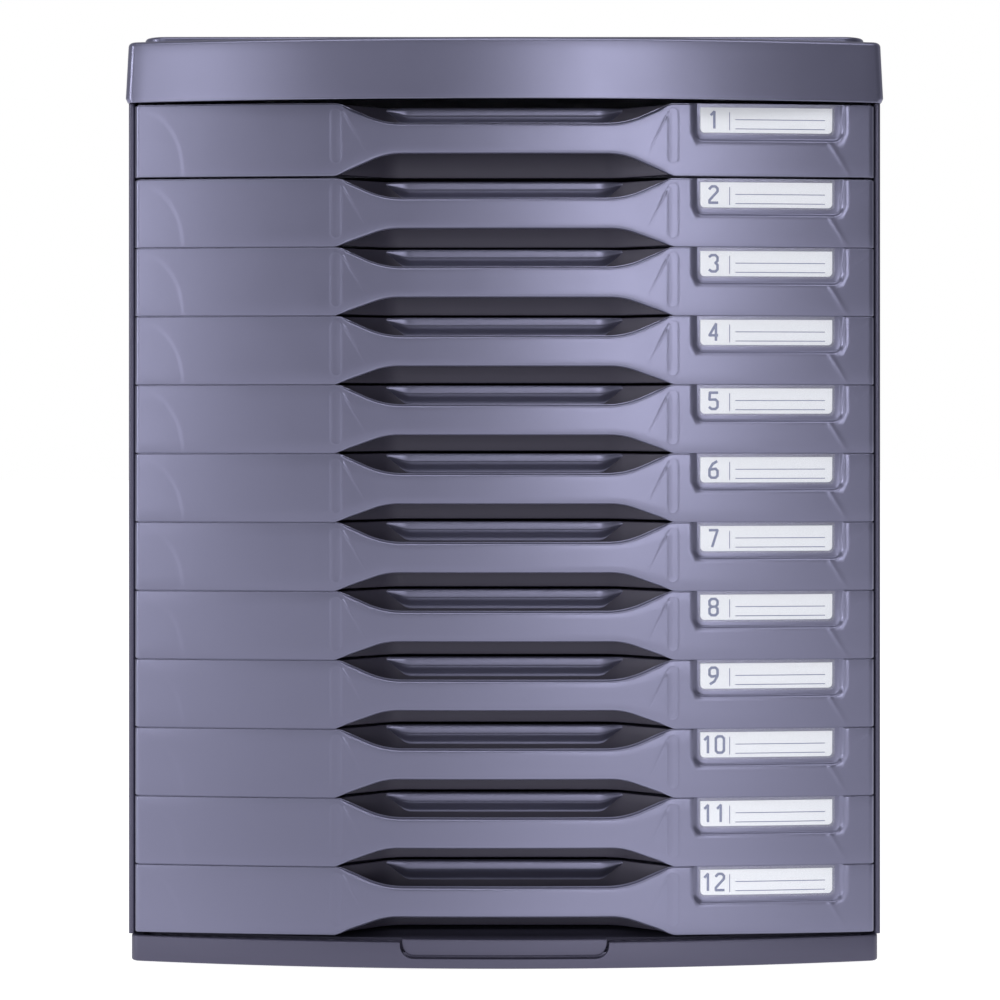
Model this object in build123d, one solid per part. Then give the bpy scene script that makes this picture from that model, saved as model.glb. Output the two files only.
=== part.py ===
from build123d import *
import math
import os

os.makedirs("parts", exist_ok=True)

# A twelve-drawer desktop filing cabinet for A4 papers. Millimetres, +Z up, front towards -Y.
# The origin is on the floor, under the middle of the cabinet.

# Body
body_width = 289.2
body_depth = 350.0
bow_rise = 14.0
drawer_bow_rise = 8.5
front_corner_radius = 4.0

# Side panels
panel_thickness = 2.4
panel_front_setback = 4.0
panel_front_round = 1.0
foot_flange_width = 12.0
foot_flange_clearance = 0.4
tongue_thickness = 1.6
tongue_height = 9.0
tongue_root = 2.5
tongue_clearance = 0.3

# Runners moulded on the side panels
runner_width = 4.0
runner_thickness = 2.0
runner_front_gap = 1.5
guide_thickness = 1.4
stop_height = 1.0
stop_length = 6.0
running_clearance = 0.3
side_clearance = 0.4

# Drawer stack
drawer_count = 12
drawer_pitch = 26.2
drawer_gap = 0.3
top_drawer_extra_height = 1.6
top_drawer_extra_gap = 0.7
drawer_travel = 260.0

# Drawer front
front_side_gap = 0.5
front_setback = 0.8
front_skin = 2.2
front_deck = 1.6
front_web = 1.6
front_web_spacing = 26.0
front_web_rise = 1.5
front_edge_round = 0.5

# Finger recess and its two cutaways in the skin
recess_depth = 15.0
recess_wall = 1.8
recess_half_width = 66.0
recess_floor_half_width = 43.0
recess_round = 16.0
lower_cutaway_half_width = 64.4
lower_cutaway_flat_half_width = 45.0
lower_cutaway_depth = 6.9
lower_cutaway_round = 28.0
upper_cutaway_half_width = 63.1
upper_cutaway_flat_half_width = 46.0
upper_cutaway_depth = 7.5
upper_cutaway_round = 34.0
lip_height = 2.6
lip_reach = 2.2
lip_half_width = 43.0
lip_taper = 6.5
lip_round = 0.8

# Label pocket, holder and card
pocket_inner_margin = 4.9
pocket_drop = 13.5
pocket_end_margin = 12.4
pocket_recess = 1.1
pocket_corner_round = 3.0
card_side_margin = 3.8
card_height = 9.6
card_thickness = 0.25
card_top_drop = 1.2
card_corner_round = 1.4
card_slot_clearance = 0.05
holder_rim = 0.8
holder_face = 0.5

# Drawer tray
tray_wall = 1.8
tray_floor = 1.8
tray_floor_lift = 1.0
tray_corner_round = 3.0
tray_rear_gap = 1.5
flange_thickness = 1.8
flange_top_drop = 2.6
heel_length = 10.0
hook_width = 6.0
hook_thickness = 2.0
hook_barb = 1.2
hook_length = 1.6
hook_clearance = 0.2
hook_end_margin = 10.7

# Back panel
back_thickness = 2.2
back_clearance = 0.2
back_flange_thickness = 2.4
back_flange_width = 6.2
back_rib_thickness = 1.6
back_bead_count = 4
back_bead_width = 7.0
back_bead_height = 0.9
back_bead_margin = 24.0

# Top cover
cover_height = 23.4
cover_gap = 1.2
cover_overhang = 1.0
cover_draft = 1.1
cover_wall = 1.8
cover_roof = 2.2
cover_chamfer_height = 1.5
cover_top_round = 1.7
rim_inset = 5.0
rim_width = 5.4
rim_height = 2.7
rim_corner_round = 9.0
rim_top_round = 0.7
cover_rib_thickness = 1.6
cover_rib_depth = 6.0
cover_rib_count = 3
catch_length = 10.0
catch_height = 3.0
catch_reach = 1.2
catch_lift = 3.5
catch_clearance = 0.3
catch_spacing = 110.0

# Base
base_height = 9.9
base_gap = 1.4
base_inset = 1.2
base_setback = 1.5
base_wall = 2.0
base_plate = 2.0
channel_width = 6.0
channel_depth = 4.0
base_rib_count = 4
base_rib_thickness = 1.6
base_rib_rise = 0.6
notch_half_width = 39.6
notch_depth = 6.2
notch_round = 5.0
notch_groove = 0.9
notch_panel_setback = 1.2
notch_panel_thickness = 1.8
notch_panel_rise = 0.9

# Feet and screws
foot_drop = 0.8
foot_radius = 8.0
foot_height = 3.4
foot_edge_round = 0.6
foot_inset_x = 26.0
foot_inset_y = 34.0
socket_wall = 1.6
socket_depth = 1.8
socket_clearance = 0.1
screw_radius = 1.4
screw_head_radius = 2.8
screw_head_height = 1.5
screw_length = 7.5
screw_clearance = 0.1
screw_boss_wall = 1.8
screw_row_count = 3
screw_row_spacing = 120.0
screw_slot_width = 0.9
screw_slot_depth = 0.7
screw_slot_share = 0.65

# Heights that follow
base_bottom = foot_drop
base_top = base_bottom + base_height
stack_bottom = base_top + base_gap
front_height = drawer_pitch - drawer_gap
top_drawer_bottom = stack_bottom + (drawer_count - 1) * drawer_pitch + top_drawer_extra_gap
cover_bottom = top_drawer_bottom + front_height + top_drawer_extra_height + cover_gap
cover_top = cover_bottom + cover_height
runner_top = drawer_pitch - flange_top_drop - flange_thickness - stop_height - running_clearance
foot_flange_thickness = base_gap + tray_floor_lift - foot_flange_clearance

# Half-widths that follow
body_half = body_width / 2
panel_inner = body_half - panel_thickness
front_half = panel_inner - front_side_gap
flange_half = panel_inner - side_clearance
tray_half = panel_inner - runner_width - side_clearance
pocket_width = front_half - pocket_end_margin - recess_half_width - pocket_inner_margin
card_width = pocket_width - 2 * card_side_margin
cover_half = body_half + cover_overhang
base_half = body_half - base_inset
tongue_outer = cover_half - cover_draft - cover_wall - tongue_clearance

# Depths that follow
front_y = -body_depth / 2
back_y = body_depth / 2
panel_back = back_y - cover_overhang
bow_end = front_y + bow_rise


def bow_radius(rise):
    """The radius of a bow that spans the body."""
    return (body_half**2 + rise**2) / (2 * rise)


def bow_y(x, setback, rise):
    """The depth of a bowed face at a width. Bows of every rise end at the same depth."""
    radius = bow_radius(rise)
    return bow_end - rise + radius - math.sqrt((radius - setback) ** 2 - x**2)


seat_y = bow_y(0, front_setback, drawer_bow_rise) + front_skin + recess_depth + recess_wall
panel_front = bow_end + panel_front_setback
runner_front = seat_y + runner_front_gap
groove_back = panel_back - back_flange_thickness
groove_front = groove_back - back_thickness - 2 * back_clearance
runner_back = groove_front - back_rib_thickness
tray_back = runner_back - tray_rear_gap
stop_back = tray_back - heel_length - drawer_travel - running_clearance
mid_y = (panel_front + panel_back) / 2

# A cutting tool runs this far past what it cuts
through = 5.0


def block(x0, x1, y0, y1, z0, z1):
    """A box between two corners."""
    return Pos((x0 + x1) / 2, (y0 + y1) / 2, (z0 + z1) / 2) * Box(x1 - x0, y1 - y0, z1 - z0)


def bowed_face(half, setback, back, corner, rise):
    """The plan of a piece behind the bowed front: an arc, two sides and a straight back."""
    end_y = bow_y(half, setback, rise)
    arc = ThreePointArc((-half, end_y), (0, bow_y(0, setback, rise)), (half, end_y))
    sides = Polyline((half, end_y), (half, back), (-half, back), (-half, end_y))
    face = make_face(arc + sides)
    if corner > 0:
        face = fillet(face.vertices().group_by(Axis.Y)[0], corner)
    return face


def raised(face, z0, z1):
    """A plan face made solid between two heights."""
    return Pos(0, 0, z0) * extrude(face, amount=z1 - z0, dir=(0, 0, 1))


def bowed_sheet(outer_setback, inner_setback, z0, z1, rise):
    """A sheet that follows the bow, between two setbacks, as wide as the body."""
    outer = bowed_face(body_half, outer_setback, back_y, 0, rise)
    inner = bowed_face(body_half, inner_setback, back_y, 0, rise)
    return raised(outer - inner, z0, z1)


def prism_y(points, rounds, y0, y1):
    """A prism along Y whose outline in X and Z has these points, some of them rounded."""
    face = make_face(Polyline(*points, close=True))
    for x, z, radius in rounds:
        nearest = face.vertices().sort_by_distance(Vector(x, z, 0))[0]
        face = fillet(nearest, radius)
    return Pos(0, y0, 0) * extrude(Plane.XZ * face, amount=y1 - y0, dir=(0, 1, 0))


def rounded_box(half_x, y0, y1, z0, z1, radius):
    """A box whose upright edges are rounded."""
    face = RectangleRounded(2 * half_x, y1 - y0, radius)
    return raised(Pos(0, (y0 + y1) / 2) * face, z0, z1)


def upright_cylinder(x, y, z0, z1, radius):
    """A cylinder along Z between two heights."""
    return Pos(x, y, (z0 + z1) / 2) * Cylinder(radius, z1 - z0)


def mirrored(shape):
    """A shape and its mirror image across the middle of the cabinet."""
    return shape + mirror(shape, about=Plane.YZ)


def drawer_bottom(number):
    """The underside of a drawer's front; drawer 1 is the top one."""
    extra = top_drawer_extra_gap if number == 1 else 0
    return stack_bottom + (drawer_count - number) * drawer_pitch + extra


def drawer_front_height(number):
    """The top drawer's front is a little taller than the others."""
    extra = top_drawer_extra_height if number == 1 else 0
    return front_height + extra


def cutaway(half, flat_half, depth, radius, edge_z, upwards):
    """The finger cutaway in a front's skin, from its upper or its lower edge."""
    sign = 1 if upwards else -1
    outside = edge_z - sign * through
    inside = edge_z + sign * depth
    points = [(-half, outside), (-half, edge_z), (-flat_half, inside)]
    points += [(flat_half, inside), (half, edge_z), (half, outside)]
    rounds = [(-flat_half, inside, radius), (flat_half, inside, radius)]
    return prism_y(points, rounds, front_y - through, seat_y)


def recess_face(grow):
    """The plan of the scooped finger recess, or of its wall when grown."""
    floor_y = seat_y - recess_wall + grow
    mouth_y = bow_y(0, front_setback, drawer_bow_rise)
    slope = (recess_half_width - recess_floor_half_width) / recess_depth
    mouth_half = recess_half_width + grow * math.hypot(1, slope) + slope * front_skin
    floor_half = recess_floor_half_width + grow * (math.hypot(1, slope) - slope)
    corners = [(-mouth_half, mouth_y), (mouth_half, mouth_y), (floor_half, floor_y), (-floor_half, floor_y)]
    face = make_face(Polyline(*corners, close=True))
    return fillet(face.vertices().group_by(Axis.Y)[-1], recess_round + grow)


def finger_recess(height):
    """The wall behind the finger cutaways, with the lip along its top."""
    cavity = raised(recess_face(0), -through, height + through)
    lip_front = seat_y - recess_wall - lip_reach
    lower_half = lip_half_width - lip_taper
    points = [(-lip_half_width, height), (lip_half_width, height)]
    points += [(lower_half, height - lip_height), (-lower_half, height - lip_height)]
    lip = prism_y(points, [], lip_front, seat_y - recess_wall / 2)
    lip = fillet(lip.faces().sort_by(Axis.Y)[0].edges().filter_by(Axis.X), lip_round)
    return cavity, lip


def label_prism(half, drop, top_drop, height, corner, y1):
    """A label-shaped prism, hung from a front's upper edge, open or closed at its top."""
    centre = label_centre
    top = height - top_drop
    bottom = height - drop
    points = [(centre - half, top), (centre + half, top), (centre + half, bottom), (centre - half, bottom)]
    rounds = [(centre - half, bottom, corner), (centre + half, bottom, corner)]
    return prism_y(points, rounds, front_y - through, y1)


label_centre = front_half - pocket_end_margin - pocket_width / 2
card_bottom_drop = card_top_drop + card_height
hook_top = drawer_pitch / 2 + hook_thickness


def hook_centres():
    """The widths at which a front hooks into its tray."""
    inner = recess_half_width + front_web_spacing / 2
    outer = front_half - hook_end_margin
    return [side * x for side in (-1, 1) for x in (inner, outer)]


def web_centres():
    """The widths of the webs behind a front's skin, evenly spaced from its inner to its outer hooks."""
    inner, outer = hook_centres()[2:]
    steps = round((outer - inner) / front_web_spacing)
    return [side * (inner + (outer - inner) * i / steps) for side in (-1, 1) for i in range(steps + 1)]


def make_front(height):
    """A drawer front: a bowed skin with cutaways, a finger recess, a label pocket and webs."""
    outer = bowed_face(front_half, front_setback, seat_y, front_corner_radius, drawer_bow_rise)
    inner_corner = front_corner_radius - front_skin
    inner = bowed_face(
        front_half - front_skin, front_setback + front_skin, seat_y + through, inner_corner, drawer_bow_rise
    )
    skin = raised(outer - inner, 0, height)
    long_edges = skin.faces().filter_by(Axis.Z).edges().filter_by(GeomType.CIRCLE)
    long_edges = long_edges.filter_by(lambda edge: edge.center().Y < bow_end + front_corner_radius)
    mid_skin = bow_radius(drawer_bow_rise) - front_setback - front_skin / 2
    outer_edges = long_edges.filter_by(lambda edge: edge.radius > mid_skin)
    skin = fillet(outer_edges, front_edge_round)
    skin -= cutaway(
        lower_cutaway_half_width,
        lower_cutaway_flat_half_width,
        lower_cutaway_depth + height - front_height,
        lower_cutaway_round,
        0,
        True,
    )
    skin -= cutaway(
        upper_cutaway_half_width,
        upper_cutaway_flat_half_width,
        upper_cutaway_depth,
        upper_cutaway_round,
        height,
        False,
    )
    pocket_shape = label_prism(pocket_width / 2, pocket_drop, -through, height, pocket_corner_round, seat_y)
    pocket_floor = front_setback + pocket_recess
    skin -= bowed_sheet(0, pocket_floor, -through, height + through, drawer_bow_rise) & pocket_shape
    hollow = inner & bowed_face(body_half, 0, seat_y, 0, drawer_bow_rise)
    deck = raised(hollow, height - front_deck, height)
    core = deck
    for x in web_centres():
        web = block(x - front_web / 2, x + front_web / 2, front_y, seat_y, front_web_rise, height)
        core += web & raised(hollow, 0, height)
    core += raised(recess_face(recess_wall) & hollow, 0, height)
    cavity, lip = finger_recess(height)
    core = core - cavity + lip
    front = skin + core
    for x in hook_centres():
        front += make_hook(x)
    return front


def make_hook(x):
    """One barbed hook, which passes through a slot in the tray's front wall and catches behind it."""
    x0 = x - hook_width / 2
    x1 = x + hook_width / 2
    tip_y = seat_y + tray_wall + hook_length
    catch_y = seat_y + tray_wall + hook_clearance
    hook_bottom = hook_top - hook_thickness
    root_bottom = hook_bottom - hook_thickness
    root_top = hook_top + hook_thickness
    prong = block(x0, x1, seat_y - front_web, tip_y, hook_bottom, hook_top)
    barb = block(x0, x1, catch_y, tip_y, hook_top, hook_top + hook_barb)
    root = block(x0, x1, seat_y - 2 * front_web, seat_y, root_bottom, root_top)
    return prong + barb + root


def make_tray():
    """A drawer tray: a shallow box with flanges that ride on the runners and heels that stop it."""
    floor_z = tray_floor_lift
    rim_z = drawer_pitch - flange_top_drop
    outer = rounded_box(tray_half, seat_y, tray_back, floor_z, rim_z, tray_corner_round)
    inner = rounded_box(
        tray_half - tray_wall,
        seat_y + tray_wall,
        tray_back - tray_wall,
        floor_z + tray_floor,
        rim_z + through,
        max(tray_corner_round - tray_wall, 0.5),
    )
    flange_bottom = rim_z - flange_thickness
    flange_front = seat_y + tray_corner_round
    flange_back = tray_back - tray_corner_round
    flange = block(tray_half - tray_wall, flange_half, flange_front, flange_back, flange_bottom, rim_z)
    heel = block(
        tray_half - tray_wall,
        flange_half,
        tray_back - heel_length,
        flange_back,
        runner_top + running_clearance,
        rim_z,
    )
    tray = outer + mirrored(flange + heel) - inner
    for x in hook_centres():
        slot_half = hook_width / 2 + hook_clearance
        tray -= block(
            x - slot_half,
            x + slot_half,
            seat_y - through,
            seat_y + tray_wall + through,
            hook_top - hook_thickness - hook_clearance,
            hook_top + hook_clearance + hook_barb,
        )
    return tray


def make_card(height):
    """The paper card, which lies on the floor of the label pocket."""
    floor_setback = front_setback + pocket_recess
    sheet = bowed_sheet(floor_setback - card_thickness, floor_setback, 0, height, drawer_bow_rise)
    shape = label_prism(card_width / 2, card_bottom_drop, card_top_drop, height, card_corner_round, seat_y)
    return sheet & shape


def make_holder(height):
    """The clear holder over the card, closed at its sides and bottom and open at its top."""
    floor_setback = front_setback + pocket_recess
    slot_setback = floor_setback - card_thickness - card_slot_clearance
    body = bowed_sheet(slot_setback - holder_face, floor_setback, 0, height + through, drawer_bow_rise)
    slot = bowed_sheet(slot_setback, floor_setback + through, 0, height + through, drawer_bow_rise)
    outer_half = card_width / 2 + holder_rim
    slot_half = card_width / 2 + card_slot_clearance
    corner = card_corner_round + holder_rim
    outline = label_prism(outer_half, card_bottom_drop + holder_rim, 0, height, corner, seat_y)
    opening = label_prism(
        slot_half, card_bottom_drop + card_slot_clearance, -through, height, card_corner_round, seat_y
    )
    return (body & outline) - (slot & opening)


def make_runner(number):
    """One drawer's runner, upper guide and stop on the right-hand panel."""
    bottom = drawer_bottom(number)
    top = bottom + runner_top
    guide_bottom = bottom + drawer_pitch - flange_top_drop + running_clearance
    inner = panel_inner - runner_width
    root = panel_inner + panel_thickness / 2
    runner = block(inner, root, runner_front, runner_back, top - runner_thickness, top)
    guide = block(inner, root, runner_front, runner_back, guide_bottom, guide_bottom + guide_thickness)
    stop = block(inner, root, stop_back - stop_length, stop_back, top - runner_thickness, top + stop_height)
    return runner + guide + stop


def screw_places():
    """The three screws down each panel's foot flange."""
    x = panel_inner - foot_flange_width / 2
    first = mid_y - screw_row_spacing * (screw_row_count - 1) / 2
    return [(x, first + index * screw_row_spacing) for index in range(screw_row_count)]


def catch_places():
    """The depths of the snap catches along each side of the cover."""
    return [mid_y + step * catch_spacing for step in (-1, 0, 1)]


def make_right_panel():
    """A side panel with its runners, foot flange, tongue under the cover and back groove."""
    plate = block(panel_inner, body_half, panel_front, panel_back, base_top, cover_bottom)
    upright = plate.edges().filter_by(Axis.Z).group_by(Axis.Y)[0]
    plate = fillet(upright, panel_front_round)
    panel = plate
    for number in range(1, drawer_count + 1):
        panel += make_runner(number)
    root = panel_inner + panel_thickness / 2
    top = base_top + foot_flange_thickness
    panel += block(panel_inner - foot_flange_width, root, runner_front, runner_back, base_top, top)
    tongue_inner = tongue_outer - tongue_thickness
    tongue_bottom = cover_bottom - tongue_root
    tongue_top = cover_bottom + tongue_height
    panel += block(tongue_inner, root, runner_front, runner_back, tongue_bottom, cover_bottom)
    panel += block(tongue_inner, tongue_outer, runner_front, runner_back, tongue_bottom, tongue_top)
    flange_inner = panel_inner - back_flange_width
    panel += block(flange_inner, root, groove_back, panel_back, base_top, cover_bottom)
    panel += block(flange_inner, root, runner_back, groove_front, base_top, cover_bottom)
    for y in catch_places():
        half = catch_length / 2 + catch_clearance
        panel -= block(
            tongue_inner - through,
            tongue_outer + through,
            y - half,
            y + half,
            cover_bottom + catch_lift - catch_clearance,
            cover_bottom + catch_lift + catch_height + catch_clearance,
        )
    bore_radius = screw_radius + screw_clearance
    head_radius = screw_head_radius + screw_clearance
    for x, y in screw_places():
        panel -= upright_cylinder(x, y, base_top - through, top + through, bore_radius)
        panel -= Pos(x, y, top - screw_head_height / 2) * Cone(bore_radius, head_radius, screw_head_height)
    return panel


def make_screws():
    """Six countersunk screws, driven down through the foot flanges into the base."""
    screws = []
    top = base_top + foot_flange_thickness - screw_clearance
    for x, y in screw_places():
        head = Cone(screw_radius, screw_head_radius, screw_head_height)
        head = Pos(x, y, top - screw_head_height / 2) * head
        shank_length = screw_length - screw_head_height
        shank = Pos(x, y, top - screw_head_height - shank_length / 2) * Cylinder(screw_radius, shank_length)
        reach = screw_head_radius * screw_slot_share
        half = screw_slot_width / 2
        slot_bottom = top - screw_slot_depth
        slot = block(x - reach, x + reach, y - half, y + half, slot_bottom, top + through)
        slot += block(x - half, x + half, y - reach, y + reach, slot_bottom, top + through)
        screw = head + shank - slot
        screws.append(screw)
        screws.append(mirror(screw, about=Plane.YZ))
    return Compound(children=[solid for screw in screws for solid in screw.solids()])


def make_back_panel():
    """The back, a plate held in the side panels' grooves, with raised stiffening beads outside."""
    half = panel_inner - back_clearance
    y0 = groove_front + back_clearance
    y1 = groove_back - back_clearance
    plate = block(-half, half, y0, y1, base_top, cover_bottom)
    field_half = panel_inner - back_flange_width - back_bead_margin
    pitch = (cover_bottom - base_top) / (back_bead_count + 1)
    for index in range(back_bead_count):
        z = base_top + (index + 1) * pitch
        bead = SlotOverall(2 * field_half, back_bead_width)
        plate += Pos(0, y1 - back_thickness / 2, z) * extrude(
            Plane.XZ * bead, amount=back_thickness / 2 + back_bead_height, dir=(0, 1, 0)
        )
    return plate


def cover_plan(shrink, z):
    """The cover's plan at a height, which narrows upwards by the draft."""
    inset = shrink + cover_draft * (z - cover_bottom) / cover_height
    corner = max(front_corner_radius - shrink, 0)
    return Pos(0, 0, z) * bowed_face(cover_half - inset, inset, back_y - inset, corner, bow_rise)


def cover_shape(shrink, z0, z1):
    """The drafted outside of the cover, or its inside when shrunk, between two heights."""
    return loft([cover_plan(shrink, z0), cover_plan(shrink, z1)], ruled=True)


def make_cover():
    """The top cover: a drafted cap with a raised rim, ribs beneath it and snap catches."""
    chamfer_z = cover_bottom + cover_chamfer_height
    foot_setback = cover_draft * cover_chamfer_height / cover_height
    foot_plan = bowed_face(body_half, foot_setback, panel_back, front_corner_radius, bow_rise)
    foot = loft([Pos(0, 0, cover_bottom) * foot_plan, cover_plan(0, chamfer_z)], ruled=True)
    shell = cover_shape(0, chamfer_z, cover_top)
    top_edges = shell.faces().sort_by(Axis.Z)[-1].edges()
    shell = fillet(top_edges, cover_top_round)
    hollow_top = cover_top - cover_roof
    hollow = cover_shape(cover_wall, cover_bottom, hollow_top)
    cover = foot + shell - hollow
    rim_half = cover_half - cover_draft - rim_inset
    rim_front = bow_end + rim_inset
    rim_back = back_y - cover_draft - rim_inset
    rim_bottom = cover_top - cover_roof / 2
    ring = rounded_box(rim_half, rim_front, rim_back, rim_bottom, cover_top + rim_height, rim_corner_round)
    ring -= rounded_box(
        rim_half - rim_width,
        rim_front + rim_width,
        rim_back - rim_width,
        cover_top - cover_roof,
        cover_top + rim_height + through,
        rim_corner_round - rim_width,
    )
    ring = fillet(ring.faces().sort_by(Axis.Z)[-1].edges(), rim_top_round)
    cover += ring
    spacing = (back_y - front_y) / (cover_rib_count + 1)
    inside = cover_shape(cover_wall / 2, hollow_top - cover_rib_depth, hollow_top + cover_roof / 2)
    for index in range(cover_rib_count):
        y = front_y + (index + 1) * spacing
        half = cover_rib_thickness / 2
        rib = block(
            -tongue_outer + tongue_thickness + cover_rib_thickness,
            tongue_outer - tongue_thickness - cover_rib_thickness,
            y - half,
            y + half,
            hollow_top - cover_rib_depth,
            hollow_top + cover_roof / 2,
        )
        cover += rib & inside
    for y in catch_places():
        half = catch_length / 2
        outer = cover_half - cover_draft - cover_wall / 3
        catch = block(
            tongue_outer - catch_reach,
            outer,
            y - half,
            y + half,
            cover_bottom + catch_lift,
            cover_bottom + catch_lift + catch_height,
        )
        catch = chamfer(catch.faces().sort_by(Axis.Z)[0].edges().sort_by(Axis.X)[0], catch_reach * 0.7)
        cover += mirrored(catch)
    return cover


def foot_places():
    """The four feet, inset from the base's sides and from its front and back."""
    x = base_half - foot_inset_x
    depths = (panel_front + foot_inset_y, panel_back - foot_inset_y)
    return [(side * x, y) for side in (-1, 1) for y in depths]


def make_feet():
    """Four rubber feet, each a disc held in a ring under the base."""
    feet = []
    for x, y in foot_places():
        foot = upright_cylinder(x, y, 0, foot_height, foot_radius)
        foot = fillet(foot.faces().sort_by(Axis.Z)[0].edges(), foot_edge_round)
        feet.append(foot)
    return Compound(children=[solid for foot in feet for solid in foot.solids()])


def make_base():
    """The base: a bowed skirt under a plate, with the front notch, foot sockets and screw bosses."""
    outer = bowed_face(base_half, base_setback, panel_back, front_corner_radius, bow_rise)
    inner_half = base_half - base_wall
    inner_corner = max(front_corner_radius - base_wall, 0)
    inner_setback = base_setback + base_wall
    inner = bowed_face(inner_half, inner_setback, panel_back - base_wall, inner_corner, bow_rise)
    plate_bottom = base_top - base_plate
    base = raised(outer, base_bottom, base_top) - raised(inner, base_bottom - through, plate_bottom)
    under = raised(inner, base_bottom, base_top - base_plate / 2)
    channel_floor = base_top - channel_depth
    channel_back = inner_setback + channel_width
    lining = bowed_sheet(0, channel_back + base_wall, channel_floor - base_plate, base_top, bow_rise)
    channel = bowed_sheet(inner_setback, channel_back, channel_floor, base_top + through, bow_rise)
    base += lining & raised(inner, base_bottom, base_top)
    base -= channel & raised(inner, base_bottom, base_top + through)
    pitch_y = (panel_back - panel_front) / (base_rib_count + 1)
    for index in range(base_rib_count):
        y = panel_front + (index + 1) * pitch_y
        half = base_rib_thickness / 2
        rib_bottom = base_bottom + base_rib_rise
        base += block(-base_half, base_half, y - half, y + half, rib_bottom, base_top) & under
    notch_bottom = base_top - notch_depth
    points = [(-notch_half_width, base_top + through), (-notch_half_width, notch_bottom)]
    points += [(notch_half_width, notch_bottom), (notch_half_width, base_top + through)]
    rounds = [(-notch_half_width, notch_bottom, notch_round), (notch_half_width, notch_bottom, notch_round)]
    panel_setback = base_setback + notch_panel_setback
    notch = prism_y(points, rounds, front_y - through, seat_y)
    notch_back = panel_setback + notch_panel_thickness
    base -= notch & bowed_sheet(0, notch_back, base_bottom, base_top + through, bow_rise)
    panel_half = notch_half_width - notch_groove
    panel_bottom = notch_bottom + notch_groove
    panel_round = notch_round - notch_groove
    panel_top = base_top + notch_panel_rise
    points = [(-panel_half, panel_top), (-panel_half, panel_bottom)]
    points += [(panel_half, panel_bottom), (panel_half, panel_top)]
    rounds = [(-panel_half, panel_bottom, panel_round), (panel_half, panel_bottom, panel_round)]
    insert = prism_y(points, rounds, front_y - through, seat_y)
    base += insert & bowed_sheet(
        panel_setback, notch_back + base_wall, base_bottom, base_top + through, bow_rise
    )
    socket_radius = foot_radius + socket_clearance
    for x, y in foot_places():
        socket_bottom = foot_height - socket_depth
        base += upright_cylinder(x, y, socket_bottom, base_top - base_plate / 2, socket_radius + socket_wall)
        base -= upright_cylinder(x, y, 0, foot_height, socket_radius)
    bore_radius = screw_radius + screw_clearance
    bore_bottom = base_top + foot_flange_thickness - screw_length - 2 * screw_clearance
    boss_bottom = bore_bottom - base_plate / 2
    boss_top = base_top - base_plate / 2
    for x, y in screw_places():
        boss = upright_cylinder(x, y, boss_bottom, boss_top, bore_radius + screw_boss_wall)
        bore = upright_cylinder(x, y, bore_bottom, base_top + through, bore_radius)
        base = base + mirrored(boss) - mirrored(bore)
    return base


def save(shape, name):
    """Writes one piece to its own file."""
    export_step(shape, f"parts/{name}.step")


right_panel = make_right_panel()
save(right_panel, "right_side_panel")
save(mirror(right_panel, about=Plane.YZ), "left_side_panel")
save(make_back_panel(), "back_panel")
save(make_cover(), "top_cover")
save(make_base(), "base")
save(make_feet(), "rubber_feet")
save(make_screws(), "base_screws")

tray = make_tray()
for number in range(1, drawer_count + 1):
    height = drawer_front_height(number)
    place = Pos(0, 0, drawer_bottom(number))
    save(place * make_front(height), f"drawer_{number:02d}_front")
    save(place * tray, f"drawer_{number:02d}_tray")
    save(place * make_card(height), f"label_{number:02d}_card")
    save(place * make_holder(height), f"label_{number:02d}_holder")
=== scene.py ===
import math

import bmesh
import bpy
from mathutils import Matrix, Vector


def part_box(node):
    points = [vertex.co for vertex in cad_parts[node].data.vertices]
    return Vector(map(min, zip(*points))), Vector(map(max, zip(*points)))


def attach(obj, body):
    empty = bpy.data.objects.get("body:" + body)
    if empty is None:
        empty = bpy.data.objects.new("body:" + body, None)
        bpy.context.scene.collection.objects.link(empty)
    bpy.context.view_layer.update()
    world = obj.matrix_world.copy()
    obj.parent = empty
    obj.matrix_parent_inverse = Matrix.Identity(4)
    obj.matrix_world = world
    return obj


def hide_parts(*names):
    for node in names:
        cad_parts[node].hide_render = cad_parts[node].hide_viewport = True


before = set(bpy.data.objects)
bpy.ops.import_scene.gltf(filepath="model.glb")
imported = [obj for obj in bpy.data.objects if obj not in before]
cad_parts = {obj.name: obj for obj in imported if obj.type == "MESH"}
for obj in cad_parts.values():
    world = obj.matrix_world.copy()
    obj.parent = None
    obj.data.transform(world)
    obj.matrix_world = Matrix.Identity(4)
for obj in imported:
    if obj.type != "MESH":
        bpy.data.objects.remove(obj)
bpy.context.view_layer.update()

# A desktop filing cabinet. Metres, in the frame of the solids: front towards -Y, floor at Z 0.
MM = 0.001
drawer_numbers = range(1, 13)

# Camera: level, in front of the drawers
camera_height = 212 * MM
camera_distance = 900 * MM
photo_width_there = 382.9 * MM
sensor = 36.0
horizon_row = 410
middle_column = 504.5
picture_size = 1000

# The bowed fronts. Bows of every rise end at the same depth, at the body's sides.
body_rise = 13.95 * MM
drawer_rise = 8.5 * MM
front_setback = 0.8 * MM
corner_radius = 4.0 * MM
back_corner_radius = 1.5 * MM
drawer_corner = 2.2 * MM
body_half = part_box("right_side_panel")[1].x
front_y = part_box("drawer_02_front")[0].y - front_setback
bow_end = front_y + drawer_rise

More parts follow.
